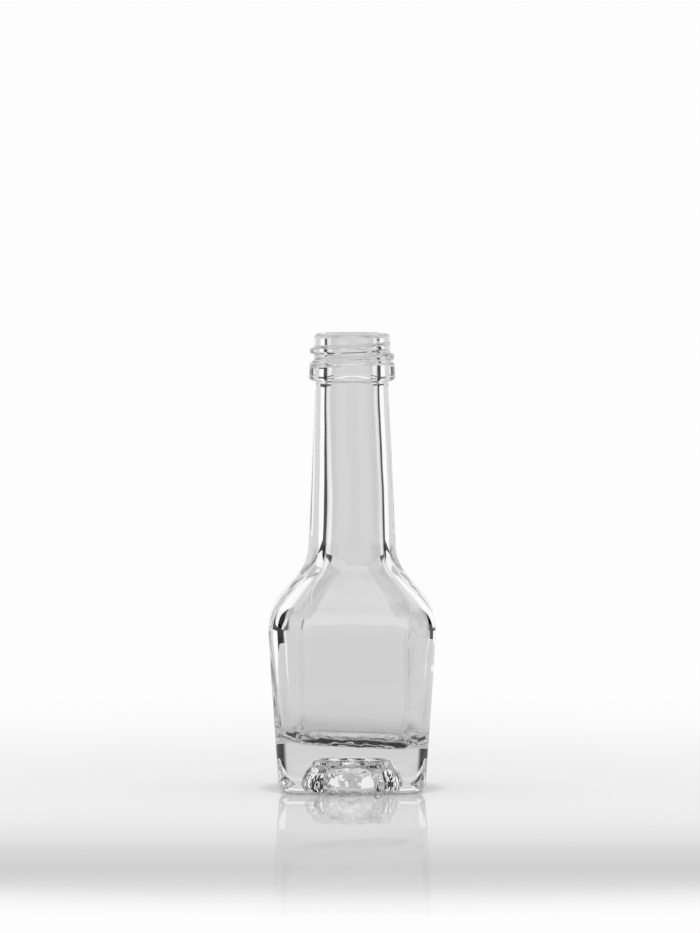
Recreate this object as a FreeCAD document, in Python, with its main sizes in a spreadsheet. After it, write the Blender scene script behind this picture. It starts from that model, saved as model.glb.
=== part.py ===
"""Square miniature liqueur bottle: one piece of clear moulded glass, empty and open.

The frame has +Z up, its origin at the middle of the foot, and a flat face of the body towards -Y.
All sizes are in millimetres. The glass is a tapered square body that closes through a sloping
shoulder into a round neck, with a locking ring and one screw thread under the lip. Inside are the
square chamber over a thick floor, the round bore, and the domed hollow (punt) under the foot.
"""
import FreeCAD, Part
import math
import os
import Sketcher
from FreeCAD import Vector

# Driving dimensions. Where an outline has a rounded bend, its widths and heights are those of the
# corner at which the straight lines on both sides of the bend would meet.
SIZES = {
    # outside of the body
    "foot_width": 30.8,
    "foot_corner": 6.0,
    "shoulder_width": 35.9,
    "shoulder_corner": 6.4,
    "body_rise": 37.4,
    "body_blend": 9.6,
    "heel_round": 3.2,
    # outside of the shoulder and the neck
    "shoulder_rise": 10.8,
    "neck_foot_radius": 9.4,
    "neck_blend": 9.9,
    "neck_rise": 38.3,
    "neck_top_radius": 7.7,
    # locking ring under the thread
    "ring_depth": 0.95,
    "ring_flare": 0.2,
    "ring_rise": 3.6,
    "ring_round": 0.45,
    # threaded finish
    "finish_radius": 8.05,
    "finish_rise": 10.1,
    "lip_round": 1.1,
    "thread_start": 3.95,
    "thread_pitch": 2.35,
    "thread_turns": 1.5,
    "thread_depth": 0.9,
    "thread_root": 1.8,
    "thread_crest": 0.8,
    # chamber
    "wall": 2.1,
    "floor_rise": 9.8,
    "floor_round": 2.4,
    "chamber_foot_corner": 5.4,
    "chamber_shoulder_corner": 6.4,
    "chamber_blend": 8.0,
    "chamber_drop": 0.8,
    # bore
    "bore_foot_radius": 6.4,
    "bore_foot_lift": -0.4,
    "bore_blend": 11.0,
    "bore_top_radius": 5.4,
    "bore_round": 0.9,
    # hollow under the foot
    "rim_land": 0.6,
    "punt_top_radius": 8.6,
    "punt_side_rise": 6.2,
    "punt_rise": 6.7,
}

# Heights and radii that follow from the driving dimensions.
LEVELS = {
    "neck_root": "Sizes.body_rise + Sizes.shoulder_rise",
    "ring_foot": "neck_root + Sizes.neck_rise",
    "ring_top": "ring_foot + Sizes.ring_rise",
    "ring_end": "ring_top + Sizes.ring_depth",
    "ring_top_radius": "Sizes.finish_radius + Sizes.ring_depth",
    "ring_foot_radius": "ring_top_radius + Sizes.ring_flare",
    "rim": "ring_foot + Sizes.finish_rise",
    "thread_middle": "ring_foot + Sizes.thread_start",
    "punt_foot_radius": "Sizes.foot_width / 2 - Sizes.heel_round - Sizes.rim_land",
    "side_slope": "(Sizes.shoulder_width - Sizes.foot_width) / 2 / Sizes.body_rise",
}

# The outside: foot, shoulder corner, foot of the neck, top of the neck, and the two bends.
OUTER = {
    "foot_half": "Sizes.foot_width / 2",
    "foot_z": "0",
    "foot_corner": "Sizes.foot_corner",
    "corner_half": "Sizes.shoulder_width / 2",
    "corner_z": "Sizes.body_rise",
    "corner_radius": "Sizes.shoulder_corner",
    "root_half": "Sizes.neck_foot_radius",
    "root_z": "Levels.neck_root",
    "top_half": "Sizes.neck_top_radius",
    "top_z": "Levels.ring_foot",
    "body_arc": "Sizes.body_blend",
    "root_arc": "Sizes.neck_blend",
}

# The chamber and the bore: the same outline, set in by the wall.
INNER = {
    "foot_half": "Sizes.foot_width / 2 + Levels.side_slope * Sizes.floor_rise - Sizes.wall",
    "foot_z": "Sizes.floor_rise",
    "foot_corner": "Sizes.chamber_foot_corner",
    "corner_half": "Sizes.shoulder_width / 2 - Levels.side_slope * Sizes.chamber_drop - Sizes.wall",
    "corner_z": "Sizes.body_rise - Sizes.chamber_drop",
    "corner_radius": "Sizes.chamber_shoulder_corner",
    "root_half": "Sizes.bore_foot_radius",
    "root_z": "Levels.neck_root + Sizes.bore_foot_lift",
    "top_half": "Sizes.bore_top_radius",
    "top_z": "Levels.ring_top",
    "body_arc": "Sizes.chamber_blend",
    "root_arc": "Sizes.bore_blend",
}

# How far the body, the shoulder and the neck lean from the upright.
LEANS = {
    "body_lean": "atan((corner_half - foot_half) / (corner_z - foot_z))",
    "slope_lean": "atan((corner_half - root_half) / (root_z - corner_z))",
    "neck_lean": "atan((root_half - top_half) / (top_z - root_z))",
}

# Distance from each corner to its bend's ends, the centres of the two bends, and their outer ends.
BENDS = {
    "body_run": "body_arc * tan((body_lean + slope_lean) / 2)",
    "root_run": "root_arc * tan((slope_lean - neck_lean) / 2)",
    "body_x": "corner_half - body_run * sin(body_lean) - body_arc * cos(body_lean)",
    "body_z": "corner_z - body_run * cos(body_lean) + body_arc * sin(body_lean)",
    "neck_x": "root_half + root_run * sin(slope_lean) + root_arc * cos(slope_lean)",
    "neck_z": "root_z - root_run * cos(slope_lean) + root_arc * sin(slope_lean)",
    "bend_z": "body_z - body_arc * sin(body_lean)",
    "round_z": "neck_z - root_arc * sin(neck_lean)",
    "round_half": "neck_x - root_arc * cos(neck_lean)",
}

BEND_STEPS = 5          # spans between the cross-sections along each bend of an outline
SLOPE_STEPS = 5         # spans between the cross-sections along the straight shoulder slope
SIDE_ANGLE = 8          # half the angle that a flat side still takes up where the neck is round
ROUNDING_POWER = 1.5    # above 1 the shoulder stays square for longer before it turns round
THREAD_SINK = 0.3       # how far the thread's root is sunk into the wall, so that the two join
CUT_MARGIN = 1.0        # how far a cutting profile passes the face that it opens
NEAR = 0.01             # tolerance when an edge is found by its place
QUARTERS = 4            # sides of a square


def make_sheet(doc):
    """Spreadsheet with one aliased cell for each driving dimension."""
    sheet = doc.addObject("Spreadsheet::Sheet", "Sizes")
    for row, (alias, value) in enumerate(SIZES.items(), start=1):
        sheet.set(f"A{row}", alias)
        sheet.set(f"B{row}", str(value))
        sheet.setAlias(f"B{row}", alias)
    doc.recompute()


def derive(doc, name, *groups):
    """Set of derived values: each group is a property type and its fields' expressions."""
    values = doc.addObject("App::VarSet", name)
    for kind, fields in groups:
        for field, expression in fields.items():
            values.addProperty(kind, field, name)
            values.setExpression(field, expression)
        doc.recompute()


def number(body, expression):
    """Present value of an expression."""
    return float(body.evalExpression(expression))


def outline_places(name):
    """Half width, height and corner radius of the cross-sections from the bend to the neck's foot.

    They lie about evenly along the outline, because a smooth loft through uneven ones would ripple.
    """
    def body_bend(share):
        angle = f"({name}.slope_lean * {share} - {name}.body_lean * {1 - share})"
        return (f"({name}.body_x + {name}.body_arc * cos({angle}))",
                f"({name}.body_z + {name}.body_arc * sin({angle}))")

    def neck_bend(share):
        angle = f"({name}.neck_lean * {share} + {name}.slope_lean * {1 - share})"
        return (f"({name}.neck_x - {name}.root_arc * cos({angle}))",
                f"({name}.neck_z - {name}.root_arc * sin({angle}))")

    def slope(share):
        return tuple(f"({low} * {1 - share} + {high} * {share})"
                     for low, high in zip(body_bend(1), neck_bend(0)))

    points = [body_bend(step / BEND_STEPS) for step in range(BEND_STEPS)]
    points += [slope(step / SLOPE_STEPS) for step in range(SLOPE_STEPS)]
    points += [neck_bend(step / BEND_STEPS) for step in range(BEND_STEPS)]
    square = f"({name}.corner_radius / {name}.corner_half)"
    places = []
    for half, height in points:
        risen = f"(({height} - {name}.bend_z) / ({name}.round_z - {name}.bend_z))"
        roundness = f"({square} + (1 - {square}) * max(0; {risen}) ^ {ROUNDING_POWER})"
        places.append((half, height, f"({half} * {roundness})"))
    return places


def origin_plane(body, role):
    """One of the body's own origin planes."""
    return next(item for item in body.Origin.OriginFeatures if item.Role == role)


def new_sketch(body, name, role):
    """Empty sketch on one of the body's origin planes."""
    sketch = body.newObject("Sketcher::SketchObject", name)
    sketch.AttachmentSupport = (origin_plane(body, role), [""])
    sketch.MapMode = "FlatFace"
    return sketch


def hold(sketch, name, expression, *terms):
    """Add a constraint with a size, name it and bind it to an expression."""
    index = sketch.addConstraint(Sketcher.Constraint(*terms, number(sketch, expression)))
    sketch.renameConstraint(index, name)
    sketch.setExpression(f"Constraints.{name}", expression)


def square_section(body, name, place):
    """Level rounded square, drawn as four sides and four corner arcs."""
    half_text, height, corner_text = place
    half, corner = number(body, half_text), number(body, corner_text)
    inner = half - corner
    sketch = new_sketch(body, name, "XY_Plane")
    sketch.setExpression("AttachmentOffset.Base.z", height)
    for turn in range(QUARTERS):
        start = math.radians(90 * (turn - 1))
        out = Vector(math.cos(start), math.sin(start))
        along = Vector(-math.sin(start), math.cos(start))
        side = Part.LineSegment(out * half - along * inner, out * half + along * inner)
        sketch.addGeometry(side, False)
        circle = Part.Circle((out + along) * inner, Vector(0, 0, 1), corner)
        sketch.addGeometry(Part.ArcOfCircle(circle, start, start + math.pi / 2), False)
    near, near_arc, right, top, left = 0, 1, 2, 4, 6
    count = 2 * QUARTERS
    for index in range(count):
        sketch.addConstraint(Sketcher.Constraint("Tangent", index, 2, (index + 1) % count, 1))
    for index in range(near_arc + 2, count, 2):
        sketch.addConstraint(Sketcher.Constraint("Equal", near_arc, index))
    sketch.addConstraint(Sketcher.Constraint("Horizontal", top))
    sketch.addConstraint(Sketcher.Constraint("Vertical", left))
    sketch.addConstraint(Sketcher.Constraint("Symmetric", near, 1, near, 2, -2))
    sketch.addConstraint(Sketcher.Constraint("Symmetric", right, 1, right, 2, -1))
    hold(sketch, "width", f"2 * {half_text}", "DistanceX", left, 1, right, 2)
    hold(sketch, "depth", f"2 * {half_text}", "DistanceY", near, 1, top, 2)
    hold(sketch, "corner", corner_text, "Radius", near_arc)
    return sketch


def round_section(body, name, radius_text, height):
    """Level circle, in eight arcs that answer the sides and corners of the rounded squares."""
    radius = number(body, radius_text)
    side = math.radians(SIDE_ANGLE)
    sketch = new_sketch(body, name, "XY_Plane")
    sketch.setExpression("AttachmentOffset.Base.z", height)
    circle = Part.Circle(Vector(), Vector(0, 0, 1), radius)
    for turn in range(QUARTERS):
        middle = math.radians(90 * (turn - 1))
        corner_end = middle + math.pi / 2 - side
        sketch.addGeometry(Part.ArcOfCircle(circle, middle - side, middle + side), False)
        sketch.addGeometry(Part.ArcOfCircle(circle, middle + side, corner_end), False)
    last = 2 * QUARTERS - 1
    for index in range(last + 1):
        sketch.addConstraint(Sketcher.Constraint("Coincident", index, 3, -1, 1))
    for index in range(last):
        sketch.addConstraint(Sketcher.Constraint("Coincident", index, 2, index + 1, 1))
    sketch.addConstraint(Sketcher.Constraint("Vertical", last, 2, 0, 1))
    hold(sketch, "radius", radius_text, "Radius", 0)
    reach = f"{radius_text} * sin({SIDE_ANGLE} deg)"
    for turn in range(QUARTERS):
        kind = "DistanceX" if turn % 2 == 0 else "DistanceY"
        arc = 2 * turn
        if turn < 2:
            spans = [(arc, 1, -1, 1), (-1, 1, arc, 2)]
        else:
            spans = [(-1, 1, arc, 1), (arc, 2, -1, 1)]
        for end, span in zip(("start", "end"), spans):
            hold(sketch, f"side_{turn}_{end}", reach, kind, *span)
    return sketch


def loft(doc, body, kind, name, sections):
    """Loft through cross-sections, smooth where there are more than two."""
    feature = body.newObject(kind, name)
    feature.Profile = sections[0]
    feature.Sections = sections[1:]
    feature.Ruled = len(sections) == 2
    doc.recompute()


def loft_outline(doc, body, kind, name, outline):
    """Straight body and curved shoulder of an outline, as two lofts that share a cross-section."""
    foot = (f"{outline}.foot_half", f"{outline}.foot_z", f"{outline}.foot_corner")
    places = [foot] + outline_places(outline)
    sections = [square_section(body, f"{name}_section_{index}", place)
                for index, place in enumerate(places)]
    sections.append(round_section(body, f"{name}_section_round", f"{outline}.round_half",
                                  f"{outline}.round_z"))
    loft(doc, body, kind, f"{name}_side", sections[:2])
    loft(doc, body, kind, f"{name}_shoulder", sections[1:])


def place_point(sketch, name, geometry, end, x_text, z_text):
    """Hold one point of an upright sketch at a radius and a height."""
    for axis, kind, mark, text in ((-2, "DistanceX", "x", x_text), (-1, "DistanceY", "z", z_text)):
        if text == "0":
            sketch.addConstraint(Sketcher.Constraint("PointOnObject", geometry, end, axis))
        else:
            hold(sketch, f"{name}_{mark}", text, kind, -1, 1, geometry, end)


def upright_polygon(body, name, points):
    """Closed polygon on the vertical plane: radius and height of each corner are expressions."""
    sketch = new_sketch(body, name, "XZ_Plane")
    values = [Vector(number(body, x_text), number(body, z_text)) for x_text, z_text in points]
    count = len(points)
    for index in range(count):
        sketch.addGeometry(Part.LineSegment(values[index], values[(index + 1) % count]), False)
    for index in range(count):
        sketch.addConstraint(Sketcher.Constraint("Coincident", index, 2, (index + 1) % count, 1))
    for index, (x_text, z_text) in enumerate(points):
        place_point(sketch, f"point_{index}", index, 1, x_text, z_text)
    return sketch


def turn_profile(doc, body, kind, name, sketch):
    """Revolution or groove of a sketch, one full turn about the vertical axis."""
    feature = body.newObject(kind, name)
    feature.Profile = sketch
    feature.ReferenceAxis = (sketch, ["V_Axis"])
    feature.Angle = 360
    doc.recompute()


def level_edges(shape, height, radius=None):
    """Names of the edges that lie at one height, and reach a given radius if there is one."""
    names = []
    for index, edge in enumerate(shape.Edges, start=1):
        box = edge.BoundBox
        level = abs(box.ZMax - height) < NEAR and abs(box.ZMin - height) < NEAR
        if level and (radius is None or abs(box.XMax - radius) < NEAR):
            names.append(f"Edge{index}")
    return names


def round_edges(doc, body, name, radius, height, reach=None):
    """Fillet on the level edges of the body's latest feature."""
    base = body.Tip
    names = level_edges(base.Shape, height, reach)
    if not names:
        raise RuntimeError(f"{name}: no edge found")
    feature = body.newObject("PartDesign::Fillet", name)
    feature.Base = (base, names)
    feature.setExpression("Radius", radius)
    doc.recompute()


def add_finish(doc, body):
    """Neck, locking ring and lip, turned in one piece on top of the shoulder."""
    profile = upright_polygon(body, "finish_profile", [
        ("0", "Outer.round_z"),
        ("Outer.round_half", "Outer.round_z"),
        ("Sizes.neck_top_radius", "Levels.ring_foot"),
        ("Levels.ring_foot_radius", "Levels.ring_foot"),
        ("Levels.ring_top_radius", "Levels.ring_top"),
        ("Sizes.finish_radius", "Levels.ring_end"),
        ("Sizes.finish_radius", "Levels.rim"),
        ("0", "Levels.rim"),
    ])
    turn_profile(doc, body, "PartDesign::Revolution", "finish", profile)
    round_edges(doc, body, "ring_rounding", "Sizes.ring_round", number(body, "Levels.ring_foot"),
                number(body, "Levels.ring_foot_radius"))
    round_edges(doc, body, "lip_rounding", "Sizes.lip_round", number(body, "Levels.rim"),
                number(body, "Sizes.finish_radius"))


def add_thread(doc, body):
    """Right-handed screw thread that starts on the ring and ends under the lip."""
    root = "-Sizes.finish_radius"
    sunk = f"(-Sizes.finish_radius + {THREAD_SINK})"
    crest = "(-Sizes.finish_radius - Sizes.thread_depth)"
    profile = upright_polygon(body, "thread_profile", [
        (sunk, "Levels.thread_middle - Sizes.thread_root / 2"),
        (root, "Levels.thread_middle - Sizes.thread_root / 2"),
        (crest, "Levels.thread_middle - Sizes.thread_crest / 2"),
        (crest, "Levels.thread_middle + Sizes.thread_crest / 2"),
        (root, "Levels.thread_middle + Sizes.thread_root / 2"),
        (sunk, "Levels.thread_middle + Sizes.thread_root / 2"),
    ])
    thread = body.newObject("PartDesign::AdditiveHelix", "thread")
    thread.Profile = profile
    thread.ReferenceAxis = (profile, ["V_Axis"])
    thread.Mode = "pitch-turns-angle"
    thread.setExpression("Pitch", "Sizes.thread_pitch")
    thread.setExpression("Turns", "Sizes.thread_turns")
    doc.recompute()


def cut_inside(doc, body):
    """Chamber over the floor, and the round bore from it to the rim."""
    loft_outline(doc, body, "PartDesign::SubtractiveLoft", "chamber", "Inner")
    profile = upright_polygon(body, "bore_profile", [
        ("0", "Inner.round_z"),
        ("Inner.round_half", "Inner.round_z"),
        ("Sizes.bore_top_radius", "Levels.ring_top"),
        ("Sizes.bore_top_radius", f"Levels.rim + {CUT_MARGIN}"),
        ("0", f"Levels.rim + {CUT_MARGIN}"),
    ])
    turn_profile(doc, body, "PartDesign::Groove", "bore", profile)
    round_edges(doc, body, "bore_rounding", "Sizes.bore_round", number(body, "Levels.rim"),
                number(body, "Sizes.bore_top_radius"))
    round_edges(doc, body, "floor_rounding", "Sizes.floor_round", number(body, "Sizes.floor_rise"))


def cut_punt(doc, body):
    """Domed hollow under the foot, which leaves a flat land inside the rounded heel to stand on."""
    foot, top = number(body, "Levels.punt_foot_radius"), number(body, "Sizes.punt_top_radius")
    side, crown = number(body, "Sizes.punt_side_rise"), number(body, "Sizes.punt_rise")
    centre = (foot ** 2 - top ** 2 - side ** 2) / 2 / (foot - top)
    circle = Part.Circle(Vector(centre, 0), Vector(0, 0, 1), foot - centre)
    below = Vector(0, -CUT_MARGIN)
    outline = [
        Part.LineSegment(below, below + Vector(foot, 0)),
        Part.LineSegment(below + Vector(foot, 0), Vector(foot, 0)),
        Part.ArcOfCircle(circle, 0, math.asin(side / (foot - centre))),
        Part.LineSegment(Vector(top, side), Vector(0, crown)),
        Part.LineSegment(Vector(0, crown), below),
    ]
    sketch = new_sketch(body, "punt_profile", "XZ_Plane")
    for item in outline:
        sketch.addGeometry(item, False)
    under, foot_edge, dome, roof, axis = range(len(outline))
    for index in range(len(outline)):
        following = (index + 1) % len(outline)
        sketch.addConstraint(Sketcher.Constraint("Coincident", index, 2, following, 1))
    sketch.addConstraint(Sketcher.Constraint("Horizontal", under))
    sketch.addConstraint(Sketcher.Constraint("Vertical", foot_edge))
    sketch.addConstraint(Sketcher.Constraint("PointOnObject", dome, 3, -1))
    place_point(sketch, "below", under, 1, "0", f"-{CUT_MARGIN}")
    place_point(sketch, "foot", dome, 1, "Levels.punt_foot_radius", "0")
    place_point(sketch, "side", roof, 1, "Sizes.punt_top_radius", "Sizes.punt_side_rise")
    place_point(sketch, "crown", axis, 1, "0", "Sizes.punt_rise")
    turn_profile(doc, body, "PartDesign::Groove", "punt", sketch)


def make_bottle(doc):
    """The whole bottle as one body."""
    body = doc.addObject("PartDesign::Body", "bottle")
    body.Label = "bottle"
    loft_outline(doc, body, "PartDesign::AdditiveLoft", "glass", "Outer")
    add_finish(doc, body)
    round_edges(doc, body, "heel_rounding", "Sizes.heel_round", 0)
    add_thread(doc, body)
    cut_inside(doc, body)
    cut_punt(doc, body)
    return body


def check(doc, body):
    """Stop on a failed feature or a bad solid, and print what was made."""
    for item in doc.Objects:
        if "Invalid" in item.State or "Error" in item.State:
            raise RuntimeError(f"{item.Label} failed: {item.State}")
    shape = body.Shape
    if shape.isNull() or not shape.isValid() or len(shape.Solids) != 1:
        raise RuntimeError("the bottle is not one valid solid")
    box = shape.BoundBox
    print(f"bottle {box.XLength:.2f} x {box.YLength:.2f} x {box.ZLength:.2f} mm,"
          f" {shape.Volume / 1000:.3f} cm3 of glass")


def main():
    """Build the bottle and write its solid."""
    doc = FreeCAD.newDocument("liqueur_bottle")
    make_sheet(doc)
    length, angle = "App::PropertyFloat", "App::PropertyAngle"
    derive(doc, "Levels", (length, LEVELS))
    derive(doc, "Outer", (length, OUTER), (angle, LEANS), (length, BENDS))
    derive(doc, "Inner", (length, INNER), (angle, LEANS), (length, BENDS))
    bottle = make_bottle(doc)
    doc.recompute()
    check(doc, bottle)
    os.makedirs("parts", exist_ok=True)
    bottle.Shape.exportStep(f"parts/{bottle.Label}.step")


main()
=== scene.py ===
"""Visual model of a square miniature liqueur bottle: one piece of clear moulded glass, open and empty.

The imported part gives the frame: +Z up, the middle of the foot at the origin, a flat face towards -Y.
Sizes are in millimetres and become metres where a mesh is made. The glass is one closed surface of
rings round the axis, from the middle of the hollow under the foot, up the outside, over the lip,
down the bore and across the floor inside. Geometry Nodes then raise what the mould adds to it: the
screw thread, the flutes of the hollow, the notches of the bearing rim and the waves of the inside.
"""

from __future__ import annotations

import logging
import math
from dataclasses import dataclass, field
from enum import Enum
from typing import Any

import bpy
import numpy as np
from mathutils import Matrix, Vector

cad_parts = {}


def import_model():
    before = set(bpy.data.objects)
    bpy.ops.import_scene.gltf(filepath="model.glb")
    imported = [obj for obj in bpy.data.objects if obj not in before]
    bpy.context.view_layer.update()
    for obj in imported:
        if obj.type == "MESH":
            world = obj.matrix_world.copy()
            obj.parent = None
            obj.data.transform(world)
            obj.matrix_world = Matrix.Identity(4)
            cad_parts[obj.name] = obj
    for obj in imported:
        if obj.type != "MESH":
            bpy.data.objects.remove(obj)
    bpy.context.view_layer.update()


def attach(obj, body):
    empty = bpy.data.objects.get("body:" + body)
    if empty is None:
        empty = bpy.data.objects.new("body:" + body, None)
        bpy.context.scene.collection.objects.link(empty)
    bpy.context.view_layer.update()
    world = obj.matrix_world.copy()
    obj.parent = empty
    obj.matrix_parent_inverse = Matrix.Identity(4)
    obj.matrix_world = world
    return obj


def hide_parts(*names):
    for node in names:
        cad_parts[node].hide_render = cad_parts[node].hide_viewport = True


log = logging.getLogger("bottle")

MM = 0.001  # metres in a millimetre
NODE = "bottle"
BODY = "root"
COLUMNS = 256  # points of each ring
CORNER_CROWDING = 0.08  # radians by which the columns move towards the rounded corners
QUARTER = math.pi / 2
EASING = 10  # passes that ease a side profile
ROUNDING_POWER = 1.3  # above 1, a square outline starts to turn round more slowly
LEAST_CORNER = 0.05  # smallest corner radius outside
LEAST_INNER_CORNER = 1.0  # and inside
ROUND_SHARE = "round_share"  # attribute: part of the turn round the axis, from 0 to 1

MATH = "ShaderNodeMath"
VECTOR = "ShaderNodeVectorMath"
RANGE = "ShaderNodeMapRange"
RAMP = "ShaderNodeValToRGB"
MIX = "ShaderNodeMix"
Socket = bpy.types.NodeSocket
Tree = bpy.types.NodeTree


class Relief(Enum):
    """What the mould adds to a ring, each kept as a share from 0 to 1 in a vertex attribute."""

    THREAD = "thread"
    FLUTE = "flute"
    NOTCH = "notch"
    WAVE = "wave"
    CURD = "curd"


def linear(hex_colour: str) -> tuple[float, float, float, float]:
    """Turns an sRGB hex colour into a linear one.

    Args:
        hex_colour: Six hex digits, such as "E3E3E3".

    Returns:
        Linear red, green and blue, and full opacity.
    """
    parts = [int(hex_colour[i : i + 2], 16) / 255 for i in (0, 2, 4)]
    low = [c / 12.92 if c <= 0.04045 else ((c + 0.055) / 1.055) ** 2.4 for c in parts]
    return low[0], low[1], low[2], 1.0


def add_node(tree: Tree, kind: str, links: dict[Any, Any] | None = None, **settings: Any) -> bpy.types.Node:
    """Adds one node with its settings and its inputs.

    Args:
        tree: Tree that gets the node.
        kind: Node type, such as "ShaderNodeMath".
        links: Input names or numbers, each with a socket to link or a plain value.
        **settings: Properties of the node.

    Returns:
        The new node.
    """
    node = tree.nodes.new(kind)
    for name, value in settings.items():
        setattr(node, name, value)
    for key, value in (links or {}).items():
        socket = node.inputs[key]
        if isinstance(value, Socket):
            tree.links.new(value, socket)
        else:
            socket.default_value = value
    return node


def rounded_path(corners: list["Corner"]) -> list[tuple[float, float]]:
    """Walks along a side profile and rounds each of its corners.

    Args:
        corners: The profile's corners in order, each with its rounding and the spacing after it.

    Returns:
        Points as (distance from the axis, height), in millimetres.
    """
    starts: list[np.ndarray] = []
    ends: list[np.ndarray] = []
    arcs: list[list[np.ndarray]] = []
    spots = [np.array((c.out, c.up)) for c in corners]
    for i, corner in enumerate(corners):
        spot = spots[i]
        if corner.rounding <= 0 or i in (0, len(corners) - 1):
            starts.append(spot)
            ends.append(spot)
            arcs.append([spot])
            continue
        back = spots[i - 1] - spot
        ahead = spots[i + 1] - spot
        back /= np.linalg.norm(back)
        ahead /= np.linalg.norm(ahead)
        half_angle = math.acos(float(np.clip(back @ ahead, -1, 1))) / 2
        run = corner.rounding / math.tan(half_angle)
        middle = back + ahead
        centre = spot + middle / np.linalg.norm(middle) * corner.rounding / math.sin(half_angle)
        first = spot + back * run - centre
        last = spot + ahead * run - centre
        turn = math.pi - 2 * half_angle
        count = max(2, round(math.degrees(turn) / corner.arc_step))
        arc = []
        for k in range(count + 1):
            swing = first * math.sin(turn * (1 - k / count)) + last * math.sin(turn * k / count)
            arc.append(centre + swing / math.sin(turn))
        starts.append(arc[0])
        ends.append(arc[-1])
        arcs.append(arc)
    path: list[np.ndarray] = []
    for i, corner in enumerate(corners):
        path += arcs[i]
        if i + 1 < len(corners):
            gap = starts[i + 1] - ends[i]
            count = max(1, round(float(np.linalg.norm(gap)) / corner.spacing))
            path += [ends[i] + gap * k / count for k in range(1, count)]
    return [(float(p[0]), float(p[1])) for p in path]


def eased(path: list[tuple[float, float]], low: float, high: float, passes: int) -> list[tuple[float, float]]:
    """Eases a path between two heights, so that its bends start softly as blown glass does.

    Args:
        path: Points of the side profile.
        low: Height where the easing starts.
        high: Height where it ends.
        passes: How many times each point moves halfway towards its neighbours' middle.

    Returns:
        The eased points.
    """
    spots = np.array(path)
    inside = (spots[:, 1] > low) & (spots[:, 1] < high)
    inside[[0, -1]] = False
    for _ in range(passes):
        middle = spots.copy()
        middle[1:-1] = spots[1:-1] / 2 + (spots[:-2] + spots[2:]) / 4
        spots[inside] = middle[inside]
    return [(float(p[0]), float(p[1])) for p in spots]


@dataclass(frozen=True)
class Corner:
    """One corner of a side profile.

    Attributes:
        out: Distance from the axis.
        up: Height.
        rounding: Radius of the rounding, 0 for a sharp corner.
        spacing: Distance between rings along the straight run that follows.
        arc_step: Degrees turned between rings of the rounding.
    """

    out: float
    up: float
    rounding: float = 0.0
    spacing: float = 1.5
    arc_step: float = 7.0


@dataclass
class Ring:
    """One closed ring of the glass surface.

    Attributes:
        reach: Distance from the ring's centre at each column.
        height: Height at each column.
        shift: How far the ring's centre lies towards +X.
        relief: Share of each relief on this ring.
    """

    reach: np.ndarray
    height: np.ndarray
    shift: float = 0.0
    relief: dict[Relief, float] = field(default_factory=dict)


def column_angles() -> np.ndarray:
    """Gives the columns' angles round the axis, crowded a little towards the rounded corners."""
    even = np.arange(COLUMNS) * 2 * math.pi / COLUMNS
    return even + CORNER_CROWDING * np.sin(4 * even)


ANGLES = column_angles()


def square_reach(half: float, corner: float) -> np.ndarray:
    """Finds how far a square with rounded corners reaches at each column.

    Args:
        half: Half of the square's width.
        corner: Radius of its corners; as large as half, it is a circle.

    Returns:
        Distance from the centre at each column.
    """
    corner = min(max(corner, LEAST_CORNER), half)
    flat = half - corner
    fold = np.abs((ANGLES + QUARTER / 2) % QUARTER - QUARTER / 2)
    side = half / np.cos(fold)
    inner = np.maximum(corner**2 - flat**2 * (1 - np.sin(2 * fold)), 0)
    arc = flat * (np.cos(fold) + np.sin(fold)) + np.sqrt(inner)
    return np.where(half * np.tan(fold) <= flat, side, arc)


def level(height: float) -> np.ndarray:
    """Gives one height at every column."""
    return np.full(COLUMNS, height)


def smooth(low: float, high: float, value: float) -> float:
    """Rises smoothly from 0 at low to 1 at high."""
    t = min(max((value - low) / (high - low), 0.0), 1.0)
    return t * t * (3 - 2 * t)


def rounding(low: float, high: float, up: float) -> float:
    """Turns a square outline into a round one, slowly at first, from 0 at low to 1 at high."""
    risen = min(max((up - low) / (high - low), 0.0), 1.0) ** ROUNDING_POWER
    return smooth(0.0, 1.0, risen)


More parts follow.
